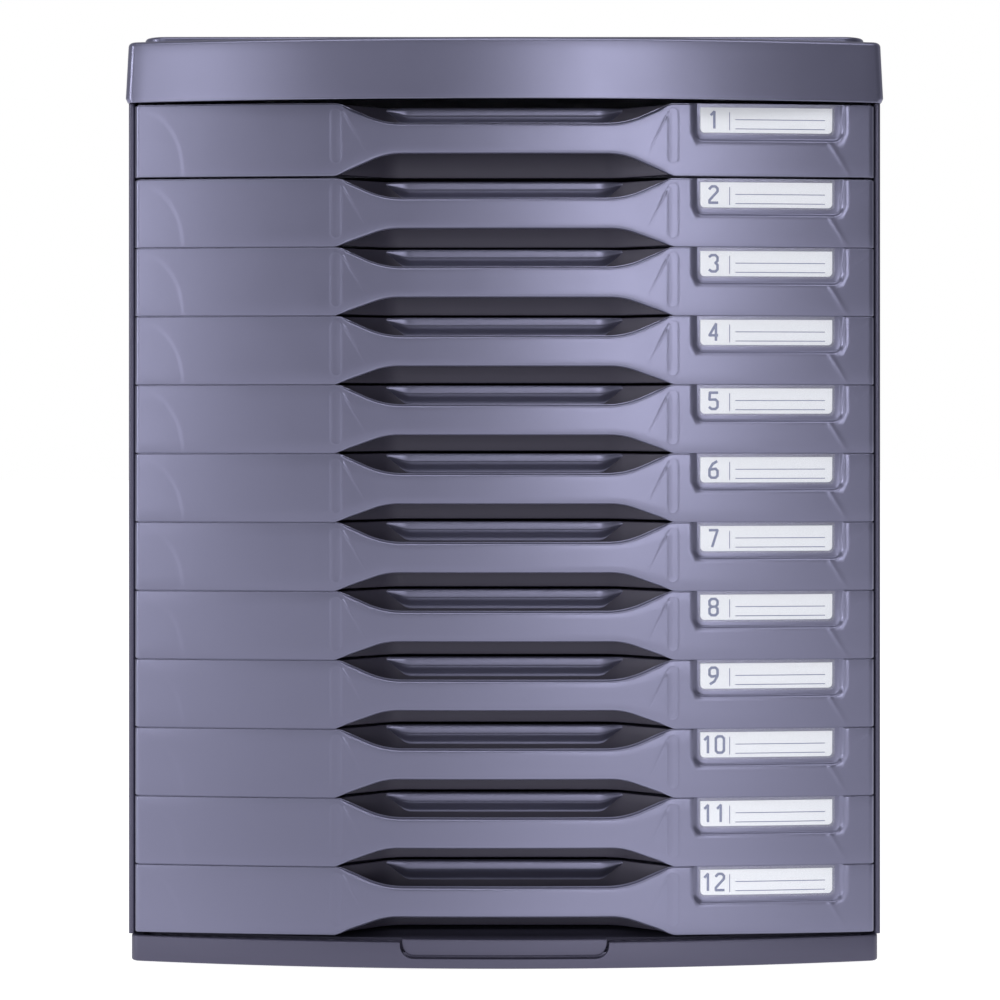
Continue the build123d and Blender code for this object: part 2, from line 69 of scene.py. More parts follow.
# Drawer fronts
front_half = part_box("drawer_02_front")[1].x
seat_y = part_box("drawer_02_tray")[0].y
skin = 2.2 * MM
skin_round = 0.4 * MM
cut_round = 1.25 * MM
seam_depth = 0.35 * MM
seam_rise = 0.26 * MM
recess_rise = 0.6 * MM
recess_wall = 1.8 * MM
recess_half = 66.0 * MM
recess_floor_half = 43.0 * MM
recess_depth = 15.0 * MM
recess_round = 16.0 * MM
lower_cut = {"half": 64.4 * MM, "flat": 45.0 * MM, "depth": 6.9 * MM, "round": 28.0 * MM, "start": 1.5 * MM}
upper_cut = {"half": 63.1 * MM, "flat": 46.0 * MM, "depth": 7.5 * MM, "round": 34.0 * MM, "start": 9.0 * MM}
lip_half = 47.2 * MM
lip_flat = 36.0 * MM
lip_height = 2.7 * MM
lip_sweep = 4.9 * MM
lip_reach = 3.6 * MM
lip_end_reach = 1.7 * MM
lip_round = 0.9 * MM
deck = 1.6 * MM
web = 1.6 * MM
web_spacing = 26.0 * MM
web_rise = 1.5 * MM
hook_end_margin = 10.7 * MM
hook_bottom = 13.1 * MM
hook_size = Vector((6.0, 5.0, 2.0)) * MM
hook_barb = 1.2 * MM

# Label pocket
pocket_half = 29.2 * MM
pocket_drop = 13.5 * MM
pocket_end_margin = 12.4 * MM
pocket_recess = 1.1 * MM
pocket_corner = 3.4 * MM
pocket_shift = 0.8 * MM
label_centre = front_half - pocket_end_margin - pocket_half
# The pocket's soft wall in millimetres: out from the pocket's outline, and in from the front's face
pocket_walls = [
    (1.9, -2.0), (1.15, -0.12), (0.8, 0.04), (0.45, 0.2),
    (0.2, 0.45), (0.0, 0.75), (-0.3, 1.0), (-0.9, 1.1),
]

# Floor and backdrop
floor_size = 6.0

scene = bpy.context.scene
scene.view_settings.view_transform = "Standard"


def make_camera():
    """The photograph's camera: level, shifted down so that upright edges stay upright."""
    data = bpy.data.cameras.new("camera")
    data.sensor_width = sensor
    data.lens = sensor * camera_distance / photo_width_there
    data.shift_x = -(middle_column - picture_size / 2) / picture_size
    data.shift_y = -(picture_size / 2 - horizon_row) / picture_size
    camera = bpy.data.objects.new("camera", data)
    camera.location = (0, bow_end - camera_distance, camera_height)
    camera.rotation_euler = (math.pi / 2, 0, 0)
    scene.collection.objects.link(camera)
    scene.camera = camera


make_camera()


class Bow:
    """A bowed front face, an arc that spans the body."""

    def __init__(self, rise):
        self.radius = (body_half**2 + rise**2) / (2 * rise)
        self.centre = bow_end - rise + self.radius

    def y(self, x, setback):
        """The depth of the face at a width."""
        return self.centre - math.sqrt((self.radius - setback) ** 2 - x * x)

    def normal(self, x, setback):
        """The outward direction in plan at a width."""
        share = x / (self.radius - setback)
        return (share, -math.sqrt(1 - share * share))

    def station(self, x, setback):
        """A point of the face and its outward direction."""
        return (x, self.y(x, setback)), self.normal(x, setback)

    def corner(self, half, setback, rounding):
        """The centre of a corner's rounding, and the angle at which it leaves the bow."""
        x = half - rounding
        y = self.centre - math.sqrt((self.radius - setback - rounding) ** 2 - x * x)
        return x, y, math.atan2(y - self.centre, x)


body_bow = Bow(body_rise)
drawer_bow = Bow(drawer_rise)


def spread(a, b, count):
    """Evenly spaced values from a to b, both ends included."""
    return [a + (b - a) * i / (count - 1) for i in range(count)]


def ease(t):
    """A smooth step from 0 to 1."""
    t = min(max(t, 0.0), 1.0)
    return t * t * (3 - 2 * t)


def new_mesh_object(name, verts, faces, sharp_angle=35):
    """A mesh object at the origin, shaded smooth except over sharp edges."""
    mesh = bpy.data.meshes.new(name)
    mesh.from_pydata(verts, [], faces)
    mesh.validate()
    obj = bpy.data.objects.new(name, mesh)
    scene.collection.objects.link(obj)
    shade(obj, sharp_angle)
    return obj


def shade(obj, sharp_angle=35):
    """Smooth shading, with edges sharper than an angle kept crisp."""
    mesh = obj.data
    mesh.polygons.foreach_set("use_smooth", [True] * len(mesh.polygons))
    mesh.set_sharp_from_angle(angle=math.radians(sharp_angle))
    mesh.update()


def outward(obj):
    """Merges doubles and turns every face outwards."""
    bm = bmesh.new()
    bm.from_mesh(obj.data)
    bmesh.ops.remove_doubles(bm, verts=bm.verts, dist=0.002 * MM)
    bmesh.ops.recalc_face_normals(bm, faces=bm.faces)
    bm.to_mesh(obj.data)
    bm.free()


def applied(obj):
    """Turns an object's modifiers into its plain mesh."""
    depsgraph = bpy.context.evaluated_depsgraph_get()
    mesh = bpy.data.meshes.new_from_object(obj.evaluated_get(depsgraph))
    obj.modifiers.clear()
    obj.data = mesh
    return obj


def cut_out(obj, cutter):
    """Cuts a shape out of an object and removes the shape."""
    boolean = obj.modifiers.new("cut", "BOOLEAN")
    boolean.object = cutter
    boolean.solver = "EXACT"
    applied(obj)
    bpy.data.objects.remove(cutter)


def joined(name, parts):
    """Joins plain mesh objects into one, keeping their materials."""
    bm = bmesh.new()
    materials = []
    for part in parts:
        start = len(bm.faces)
        slots = []
        for material in part.data.materials:
            if material not in materials:
                materials.append(material)
            slots.append(materials.index(material))
        bm.from_mesh(part.data)
        bm.faces.ensure_lookup_table()
        for face in bm.faces[start:]:
            face.material_index = slots[face.material_index] if slots else 0
        bpy.data.objects.remove(part)
    mesh = bpy.data.meshes.new(name)
    bm.to_mesh(mesh)
    bm.free()
    for material in materials:
        mesh.materials.append(material)
    obj = bpy.data.objects.new(name, mesh)
    scene.collection.objects.link(obj)
    return obj


def moved_copy(obj, name, dz):
    """A copy of a mesh object at another height, its place in its mesh."""
    mesh = obj.data.copy()
    mesh.name = name
    for vertex in mesh.vertices:
        vertex.co.z += dz
    copy = bpy.data.objects.new(name, mesh)
    scene.collection.objects.link(copy)
    return copy


def front_path(corner_steps=6):
    """Stations of a front's plan: up one side, round the bow and back down the other."""
    corner_x, corner_y, touch = drawer_bow.corner(front_half, front_setback, drawer_corner)
    right = []
    for angle in spread(touch, 0.0, corner_steps + 1):
        normal = (math.cos(angle), math.sin(angle))
        right.append(((corner_x + drawer_corner * normal[0], corner_y + drawer_corner * normal[1]), normal))
    for y in spread(corner_y, seat_y, 4)[1:]:
        right.append(((front_half, y), (1.0, 0.0)))
    touch_x = right[0][0][0]
    bow = []
    for x in front_widths():
        if abs(x) < touch_x - 0.4 * MM:
            bow.append(drawer_bow.station(x, front_setback))
    left = [((-p[0], p[1]), (-n[0], n[1])) for p, n in reversed(right)]
    return left + bow + right


def band(name, stations, lows, highs, rows, roundings):
    """A closed band swept along a plan path, with its own height and rounding at each station.

    A row is a depth, a share of the height, shares of the rounding inwards and upwards, and a lift.
    """
    verts = []
    for (point, normal), low, high, rounding in zip(stations, lows, highs, roundings):
        for depth, share, round_depth, round_lift, lift in rows:
            z = low + share * (high - low) + rounding * round_lift + lift
            inward = depth + rounding * round_depth
            verts.append((point[0] - normal[0] * inward, point[1] - normal[1] * inward, z))
    return swept(name, verts, len(rows))


def swept(name, verts, count, sharp_angle=35):
    """A closed mesh of sections that each have as many points, with its ends closed."""
    sections = len(verts) // count
    faces = []
    for i in range(sections - 1):
        a = i * count
        b = a + count
        for j in range(count):
            k = (j + 1) % count
            faces.append((a + j, b + j, b + k, a + k))
    faces.append(tuple(range(count)))
    faces.append(tuple(reversed(range((sections - 1) * count, sections * count))))
    obj = new_mesh_object(name, verts, faces)
    outward(obj)
    shade(obj, sharp_angle)
    return obj


def band_rows(outer, inner, face_rows, steps=4, seam=()):
    """The section of a band: outer edges rounded, flat behind, with a raised seam at its top if asked."""
    rows = []
    for angle in spread(0, math.pi / 2, steps + 1):
        rows.append((outer, 0, 1 - math.sin(angle), 1 - math.cos(angle), 0))
    for share in spread(0, 1, face_rows + 2)[1:-1]:
        rows.append((outer, share, 0, 1 - 2 * share, 0))
    for angle in spread(math.pi / 2, 0, steps + 1):
        rows.append((outer, 1, 1 - math.sin(angle), math.cos(angle) - 1, 0))
    rise = 0
    if seam:
        depth, rise = seam
        rows += [(outer + depth, 1, 1, 0, 0), (outer + depth, 1, 1, 0, rise)]
    rows += [(inner, 1, 0, 0, rise), (inner, 0.5, 0, 0, 0), (inner, 0, 0, 0, 0)]
    return rows


def cut_height(x, cut):
    """How far a cutaway's edge stands in from the front's edge: a rounded start, a slope and a flat."""
    x = abs(x)
    slope = math.atan2(cut["depth"], cut["half"] - cut["flat"])
    start = cut["start"] * math.tan(slope / 2)
    if x >= cut["half"] + start:
        return 0.0
    if x >= cut["half"] - start * math.cos(slope):
        return cut["start"] - math.sqrt(cut["start"] ** 2 - (cut["half"] + start - x) ** 2)
    tangent = cut["round"] * math.tan(slope / 2)
    flat_end = cut["flat"] - tangent
    slope_start = cut["flat"] + tangent * math.cos(slope)
    if x <= flat_end:
        return cut["depth"]
    if x >= slope_start:
        return (cut["half"] - x) * math.tan(slope)
    return cut["depth"] - cut["round"] + math.sqrt(cut["round"] ** 2 - (x - flat_end) ** 2)


def front_widths():
    """Where the front's mesh has its columns: close together at the cutaways' ends."""
    widths = spread(-front_half, front_half, 120)
    for side in (-1, 1):
        widths += [side * x for x in spread(upper_cut["flat"] - 12 * MM, lower_cut["half"] + 3 * MM, 48)]
    kept = []
    for x in sorted(widths):
        if not kept or x - kept[-1] > 0.3 * MM:
            kept.append(x)
    return kept


def make_skin(name, bottom, top):
    """A drawer front's bowed skin with its side returns, cutaways and label pocket."""
    extra = (top - bottom) - standard_height
    cut = dict(lower_cut, depth=lower_cut["depth"] + extra)
    stations = front_path()
    lows = []
    highs = []
    roundings = []
    for (x, y), normal in stations:
        low = cut_height(x, cut)
        high = cut_height(x, upper_cut)
        lows.append(bottom + low)
        highs.append(top - high)
        roundings.append(skin_round + (cut_round - skin_round) * ease(min(low, high) / (2 * MM)))
    rows = band_rows(0.0, skin, 4, 5, (seam_depth, seam_rise))
    obj = band(name, stations, lows, highs, rows, roundings)
    cut_out(obj, make_pocket_cutter(top))
    shade(obj, 40)
    return obj


def mark_places(obj, top):
    """A UV map of true sizes: across from the middle, and up from a drawer's upper edge."""
    layer = obj.data.uv_layers.new(name="UVMap")
    for loop in obj.data.loops:
        place = obj.data.vertices[loop.vertex_index].co
        layer.data[loop.index].uv = (place.x, place.z - top)


def pocket_columns(half, corner):
    """The widths of a label shape's columns and how far each starts above its bottom."""
    columns = []
    for angle in spread(0, math.pi / 2, 7):
        columns.append((-half + corner * (1 - math.cos(angle)), corner * (1 - math.sin(angle))))
    for x in spread(-half + corner, half - corner, 16)[1:-1]:
        columns.append((x, 0.0))
    columns += [(-x, rise) for x, rise in reversed(columns[:7])]
    return columns


def make_pocket_cutter(top):
    """The shape that is cut from a front's skin for its label, with soft sloping walls and an open top."""
    over = top + 4 * MM
    verts = []
    outlines = []
    for grow, depth in pocket_walls:
        grow = grow * MM
        columns = pocket_columns(pocket_half - pocket_shift + grow, pocket_corner + grow)
        outlines.append([(x, rise - pocket_drop - grow, depth * MM) for x, rise in columns])
    for i in range(len(outlines[0])):
        section = [(outline[i][0], top + outline[i][1], outline[i][2]) for outline in outlines]
        section += [(x, over, depth) for x, z, depth in reversed(section)]
        for offset, z, depth in section:
            point, normal = drawer_bow.station(label_centre + pocket_shift + offset, front_setback)
            verts.append((point[0] - normal[0] * depth, point[1] - normal[1] * depth, z))
    return swept("pocket_cutter", verts, 2 * len(pocket_walls))


def recess_path():
    """The plan of the scooped recess's visible side, from the skin round its floor and back."""
    floor_y = seat_y - recess_wall
    mouth_y = drawer_bow.y(0, front_setback)
    slope = (recess_half - recess_floor_half) / recess_depth
    mouth_half = recess_half + slope * skin
    run = Vector((recess_floor_half - mouth_half, floor_y - mouth_y))
    turn = math.pi / 2 - math.atan2(mouth_half - recess_floor_half, floor_y - mouth_y)
    tangent = recess_round * math.tan(turn / 2)
    direction = run.normalized()
    depth = drawer_bow.y(mouth_half, front_setback + skin * 0.6) - mouth_y
    start = Vector((mouth_half, mouth_y)) + direction * (depth / direction.y)
    arc_start = Vector((recess_floor_half, floor_y)) - direction * tangent
    arc_end_x = recess_floor_half - tangent
    centre = Vector((arc_end_x, floor_y - recess_round))
    right = []
    line_normal = Vector((-direction.y, direction.x))
    if line_normal.y > 0:
        line_normal = -line_normal
    for share in spread(0, 1, 8):
        point = start.lerp(arc_start, share)
        right.append((tuple(point), tuple(line_normal)))
    first = math.atan2(-line_normal.y, -line_normal.x)
    for angle in spread(first, math.pi / 2, 14)[1:]:
        away = Vector((math.cos(angle), math.sin(angle)))
        right.append((tuple(centre + away * recess_round), tuple(-away)))
    left = [((-p[0], p[1]), (-n[0], n[1])) for p, n in right]
    floor = [((x, floor_y), (0.0, -1.0)) for x in spread(-arc_end_x, arc_end_x, 24)[1:-1]]
    return left + floor + list(reversed(right))


def make_recess(name, bottom, top):
    """The recess's scooped wall, a plate with softly rounded upper and lower edges."""
    path = recess_path()
    rows = band_rows(0.0, recess_wall, 6, 3)
    lows = [bottom + recess_rise] * len(path)
    return band(name, path, lows, [top] * len(path), rows, [0.4 * MM] * len(path))


def make_lip(name, top):
    """The lip along the top of the recess's wall, which runs out into the curved wall at both ends."""
    floor_y = seat_y - recess_wall
    behind = -recess_wall * 0.6
    verts = []
    for x in spread(-lip_half, lip_half, 64):
        out = ease((abs(x) - lip_flat) / (lip_half - lip_flat))
        reach = lip_reach + (lip_end_reach - lip_reach) * out
        height = lip_round + (lip_height - lip_round) * (1 - out)
        root = top - height - lip_sweep * (1 - 0.6 * out)
        section = []
        for share in spread(0, 1, 12):
            section.append((reach * ease(share), root + (top - height - root) * share))
        for angle in spread(math.pi / 2, 0, 7):
            depth = reach - lip_round * (1 - math.sin(angle))
            section.append((depth, top - lip_round * (1 - math.cos(angle))))
        section += [(behind, top), (behind, root)]
        verts += [(x, floor_y - depth, z) for depth, z in section]
    return swept(name, verts, len(section), 50)


def make_deck(name, top):
    """The web that closes a front's top from the skin to the tray, outside the recess."""
    path = [(p, n) for p, n in recess_path() if p[0] > 0]
    columns = sorted((p[0] - n[0] * recess_wall * 0.5, p[1] - n[1] * recess_wall * 0.5) for p, n in path)
    inner_half = front_half - skin * 0.5
    for x in spread(columns[-1][0] + 1 * MM, inner_half - 1.8 * MM, 24):
        columns.append((x, drawer_bow.y(x, front_setback + skin * 0.5)))
    columns.append((inner_half, drawer_bow.y(inner_half, front_setback) + corner_radius))
    sides = []
    for side in (-1, 1):
        verts = []
        for x, y in columns:
            y = min(y, seat_y - 0.2 * MM)
            for point in ((y, top), (seat_y, top), (seat_y, top - deck), (y, top - deck)):
                verts.append((side * x, point[0], point[1]))
        sides.append(swept("deck_side", verts, 4, 30))
    return joined(name, sides)


def ring_outline(half, setback, back, front_corner, back_corner, bow_columns=60):
    """A closed plan outline behind the bow, with rounded corners, always the same number of points."""
    corner_x, corner_y, touch = body_bow.corner(half, setback, front_corner)
    touch_x = corner_x + front_corner * math.cos(touch)
    side = half - back_corner
    end = back - back_corner
    points = []
    for x in spread(-touch_x, touch_x, bow_columns):
        points.append((x, body_bow.y(x, setback)))
    for angle in spread(touch, 0, 8)[1:]:
        points.append((corner_x + front_corner * math.cos(angle), corner_y + front_corner * math.sin(angle)))
    for y in spread(corner_y, end, 12)[1:]:
        points.append((half, y))
    for angle in spread(0, math.pi / 2, 6)[1:]:
        points.append((side + back_corner * math.cos(angle), end + back_corner * math.sin(angle)))
    for x in spread(side, -side, 24)[1:]:
        points.append((x, back))
    for angle in spread(math.pi / 2, math.pi, 6)[1:]:
        points.append((-side + back_corner * math.cos(angle), end + back_corner * math.sin(angle)))
    for y in spread(end, corner_y, 12)[1:]:
        points.append((-half, y))
    for angle in spread(math.pi, math.pi - touch, 8)[1:-1]:
        points.append((-corner_x + front_corner * math.cos(angle), corner_y + front_corner * math.sin(angle)))
    return points


def lofted_rings(name, rings, closed_section=False):
    """Quads between rings of as many points, each a list of points and a height."""
    verts = []
    count = len(rings[0][0])
    for points, z in rings:
        verts += [(x, y, z) for x, y in points]
    faces = []
    pairs = len(rings) if closed_section else len(rings) - 1
    for i in range(pairs):
        a = i * count
        b = ((i + 1) % len(rings)) * count
        for j in range(count):
            k = (j + 1) % count
            faces.append((a + j, a + k, b + k, b + j))
    if not closed_section:
        faces.append(tuple(reversed(range(count))))
        faces.append(tuple(range((len(rings) - 1) * count, len(rings) * count)))
    obj = new_mesh_object(name, verts, faces)
    outward(obj)
    shade(obj)
    return obj


def shrunk_corners(extra):
    """The radii of the front and back corners of an outline that is moved in."""
    return max(corner_radius - extra, 0.4 * MM), max(back_corner_radius - extra, 0.3 * MM)


# Cover
cover_low, cover_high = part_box("top_cover")
cover_draft = 1.1 * MM
cover_height = 23.4 * MM
cover_overhang = 1.0 * MM
cover_wall = 1.8 * MM
cover_roof = 2.2 * MM
chamfer_height = 1.5 * MM
cover_round = 1.7 * MM
cover_half = body_half + cover_overhang
cover_bottom = cover_low.z
cover_top = cover_bottom + cover_height
cover_back = cover_high.y + cover_draft * chamfer_height / cover_height
rim_inset = 5.0 * MM
rim_width = 5.4 * MM
rim_corner = 9.0 * MM
rim_bead = 1.0 * MM
rim_fillet = 0.8 * MM


def cover_ring(extra, z, side_extra=0.0):
    """A ring of the cover's drafted wall at a height, moved in by an extra amount."""
    inset = extra + cover_draft * (z - cover_bottom) / cover_height
    half = cover_half - inset - side_extra
    back = cover_back - inset - side_extra
    return ring_outline(half, inset, back, *shrunk_corners(extra)), z


def make_cover():
    """The cover's cap: rounded top edge, drafted wall, chamfered foot and hollow underside."""
    soft = 0.25 * MM
    chamfer_z = cover_bottom + chamfer_height
    hollow_top = cover_top - cover_roof
    rings = [cover_ring(cover_wall, hollow_top)]
    rings.append(cover_ring(cover_wall, cover_bottom + soft))
    rings.append(cover_ring(cover_wall - soft, cover_bottom))
    rings.append(cover_ring(soft, cover_bottom, cover_overhang - soft))
    rings.append(cover_ring(0.0, cover_bottom + soft, cover_overhang - soft))
    rings.append(cover_ring(0.0, chamfer_z - soft, soft))
    rings.append(cover_ring(0.0, chamfer_z + soft))
    for z in spread(chamfer_z + soft, cover_top - cover_round, 7)[1:-1]:
        rings.append(cover_ring(0.0, z))
    for angle in spread(0, math.pi / 2, 8):
        inset = cover_round * (1 - math.cos(angle))
        rings.append(cover_ring(inset, cover_top - cover_round * (1 - math.sin(angle))))
    return lofted_rings("cover_cap", rings)


def rounded_rectangle(half, front, back, radius, corner_steps=10):
    """A closed plan outline: a rectangle with rounded corners."""
    points = []
    centres = [
        (half - radius, front + radius, -math.pi / 2),
        (half - radius, back - radius, 0),
        (-half + radius, back - radius, math.pi / 2),
        (-half + radius, front + radius, math.pi),
    ]
    for x, y, start in centres:
        for angle in spread(start, start + math.pi / 2, corner_steps):
            points.append((x + radius * math.cos(angle), y + radius * math.sin(angle)))
    return points


def make_rim():
    """The raised rim on the cover, a bead with rounded edges and a fillet at its root."""
    half = cover_half - cover_draft - rim_inset
    front = bow_end + rim_inset
    back = cover_back - cover_draft - rim_inset
    top = cover_high.z
    root = cover_top - 0.4 * MM

    def ring(inset, z):
        corner = max(rim_corner - inset, 1 * MM)
        return rounded_rectangle(half - inset, front + inset, back - inset, corner), z

    fillet = []
    for angle in spread(0, math.pi / 2, 4):
        z = cover_top + rim_fillet * (1 - math.cos(angle)) * 0.8
        fillet.append((rim_fillet * (1 - math.sin(angle)), z))
    bead = []
    for angle in spread(0, math.pi / 2, 5):
        bead.append((rim_bead * (1 - math.cos(angle)), top - rim_bead * (1 - math.sin(angle))))
    rings = [ring(-rim_fillet, root)]
    rings += [ring(-inset, z) for inset, z in fillet]
    rings += [ring(inset, z) for inset, z in bead]
    rings += [ring(rim_width - inset, z) for inset, z in reversed(bead)]
    rings += [ring(rim_width + inset, z) for inset, z in reversed(fillet)]
    rings.append(ring(rim_width + rim_fillet, root))
    return lofted_rings("cover_rim", rings, closed_section=True)


# Base
base_low, base_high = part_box("base")
base_half = base_high.x
base_setback = 1.5 * MM
base_wall = 2.0 * MM
base_plate = 2.0 * MM
base_bottom = base_low.z
base_top = base_bottom + 9.9 * MM
notch_half = 39.6 * MM
notch_depth = 6.2 * MM
notch_bottom = base_top - notch_depth
notch_backing = 4.0 * MM
notch_round = 5.0 * MM
notch_groove = 0.9 * MM
notch_panel_setback = 1.2 * MM
notch_panel_rise = 0.9 * MM
channel_width = 6.0 * MM
channel_depth = 4.0 * MM


def base_ring(extra, z):
    """A ring of the base's wall."""
    back = base_high.y - extra
    return ring_outline(base_half - extra, base_setback + extra, back, *shrunk_corners(extra)), z


def make_base():
    """The base's skirt and plate, with rounded edges and the notch at the middle of its front."""
    soft = 0.7 * MM
    rings = [base_ring(base_wall, base_top - base_plate), base_ring(base_wall, base_bottom + 0.2 * MM)]
    rings.append(base_ring(base_wall - 0.2 * MM, base_bottom))
    for angle in spread(math.pi / 2, 0, 5):
        rings.append(base_ring(soft * (1 - math.cos(angle)), base_bottom + soft * (1 - math.sin(angle))))
    for angle in spread(0, math.pi / 2, 5):
        rings.append(base_ring(soft * (1 - math.cos(angle)), base_top - soft * (1 - math.sin(angle))))
    base = lofted_rings("base_tray", rings)
    over = base_top + 4 * MM
    notch = bow_shape("notch_cutter", notch_half, notch_round, notch_bottom, over, -2 * MM, notch_backing)
    cut_out(base, notch)
    cut_out(base, make_channel_cutter())
    base = joined("base_tray", [base, make_channel_lining()])
    shade(base)
    return base


def channel_sheet(name, outer, inner, half, low, high):
    """A sheet behind the base's skirt that follows its bow."""
    stations = [body_bow.station(x, base_setback) for x in spread(-half, half, 50)]
    rows = band_rows(outer, inner, 1, 2)
    return band(name, stations, [low] * 50, [high] * 50, rows, [0.05 * MM] * 50)


def make_channel_cutter():
    """The channel that runs behind the base's skirt, under the lowest drawer."""
    half = base_half - 2 * base_wall
    low = base_top - channel_depth
    return channel_sheet("channel_cutter", base_wall, base_wall + channel_width, half, low, base_top + 3 * MM)


def make_channel_lining():
    """The channel's floor and back wall, and the sheet behind the notch's groove."""
    half = base_half - 2 * base_wall + 0.5 * MM
    low = base_top - channel_depth
    back = base_wall + channel_width
    behind = notch_backing + 0.2 * MM
    parts = [
        channel_sheet("back", behind, behind + 1 * MM, notch_half + 4 * MM, notch_bottom - 2.5 * MM, low),
        channel_sheet("floor", base_wall - 0.3 * MM, back + 1 * MM, half, low - base_plate, low),
        channel_sheet("wall", back, back + base_wall, half, low, base_top - 1 * MM),
    ]
    return joined("channel_lining", parts)


def bow_shape(name, half, corner, low, high, outer, inner, rounding=0.1 * MM):
    """A sheet on the base's bow with rounded lower corners, from one depth to another."""
    stations = []
    lows = []
    for x, rise in pocket_columns(half, corner):
        stations.append(body_bow.station(x, base_setback))
        lows.append(low + rise)
    rows = band_rows(outer, inner, 2, 4)
    return band(name, stations, lows, [high] * len(stations), rows, [rounding] * len(stations))


def make_notch_panel():
    """The panel that stands behind the groove in the base's notch."""
    return bow_shape(
        "notch_panel",
        notch_half - notch_groove,
        notch_round - notch_groove,
        notch_bottom + notch_groove,
        base_top + notch_panel_rise,
        notch_panel_setback,
        notch_panel_setback + 3 * MM,
        0.6 * MM,
    )


def box_mesh(name, size):
    """A small box with softened edges, centred on the origin."""
    bm = bmesh.new()
    bmesh.ops.create_cube(bm, size=1)
    bmesh.ops.scale(bm, vec=size, verts=bm.verts)
    bmesh.ops.bevel(bm, geom=bm.edges, offset=min(size) * 0.12, segments=2, affect="EDGES")
    mesh = bpy.data.meshes.new(name)
    bm.to_mesh(mesh)
    bm.free()
    obj = bpy.data.objects.new(name, mesh)
    scene.collection.objects.link(obj)
    return obj


def repeated(name, unit, places, finish=None):
    """Copies of a unit at each place, made by Geometry Nodes and turned into one plain mesh."""
    group = bpy.data.node_groups.new(name, "GeometryNodeTree")
    group.interface.new_socket("Geometry", in_out="INPUT", socket_type="NodeSocketGeometry")
    unit_socket = group.interface.new_socket("Unit", in_out="INPUT", socket_type="NodeSocketObject")
    finish_socket = group.interface.new_socket("Finish", in_out="INPUT", socket_type="NodeSocketMaterial")
    group.interface.new_socket("Geometry", in_out="OUTPUT", socket_type="NodeSocketGeometry")
    start = group.nodes.new("NodeGroupInput")
    info = group.nodes.new("GeometryNodeObjectInfo")
    instances = group.nodes.new("GeometryNodeInstanceOnPoints")
    real = group.nodes.new("GeometryNodeRealizeInstances")
    dressed = group.nodes.new("GeometryNodeSetMaterial")
    end = group.nodes.new("NodeGroupOutput")
    group.links.new(start.outputs["Geometry"], instances.inputs["Points"])
    group.links.new(start.outputs["Unit"], info.inputs["Object"])
    group.links.new(info.outputs["Geometry"], instances.inputs["Instance"])
    group.links.new(instances.outputs["Instances"], real.inputs["Geometry"])
    group.links.new(real.outputs["Geometry"], dressed.inputs["Geometry"])
    group.links.new(start.outputs["Finish"], dressed.inputs["Material"])
    group.links.new(dressed.outputs["Geometry"], end.inputs["Geometry"])
    obj = new_mesh_object(name, places, [])
    modifier = obj.modifiers.new("repeat", "NODES")
    modifier.node_group = group
    modifier[unit_socket.identifier] = unit
    modifier[finish_socket.identifier] = finish
    applied(obj)
    bpy.data.objects.remove(unit)
    return obj


def web_widths():
    """The widths of the webs behind a front's skin, from the recess out to the corner."""
    inner = recess_half + web_spacing / 2
    outer = front_half - hook_end_margin
    return spread(inner, outer, round((outer - inner) / web_spacing) + 1)


def make_webs(name, bottom, top):
    """The upright webs that carry a front's skin on the tray."""
    webs = []
    for x in web_widths():
        front = drawer_bow.y(x, front_setback + skin) - 0.3 * MM
        size = (web, seat_y - front, top - bottom - web_rise - deck * 0.5)
        unit = box_mesh("web", size)
        middle = (seat_y + front) / 2
        height = bottom + web_rise + size[2] / 2
        webs.append(repeated("web_pair", unit, [(side * x, middle, height) for side in (-1, 1)]))
    return joined(name, webs)


def make_hooks(name, bottom):
    """The barbed hooks that pass through slots in the tray's front wall."""
    widths = web_widths()
    places = [side * x for side in (-1, 1) for x in (widths[0], widths[-1])]
    prong_y = seat_y - 1.6 * MM + hook_size.y / 2
    prongs = [(x, prong_y, bottom + hook_bottom + hook_size.z / 2) for x in places]
    barb_size = (hook_size.x, 1.4 * MM, hook_barb)
    barb_y = seat_y - 1.6 * MM + hook_size.y - barb_size[1] / 2
    barbs = [(x, barb_y, bottom + hook_bottom + hook_size.z + hook_barb / 2 - 0.1 * MM) for x in places]
    parts = [
        repeated("prongs", box_mesh("prong", hook_size), prongs),
        repeated("barbs", box_mesh("barb", barb_size), barbs),
    ]
    return joined(name, parts)


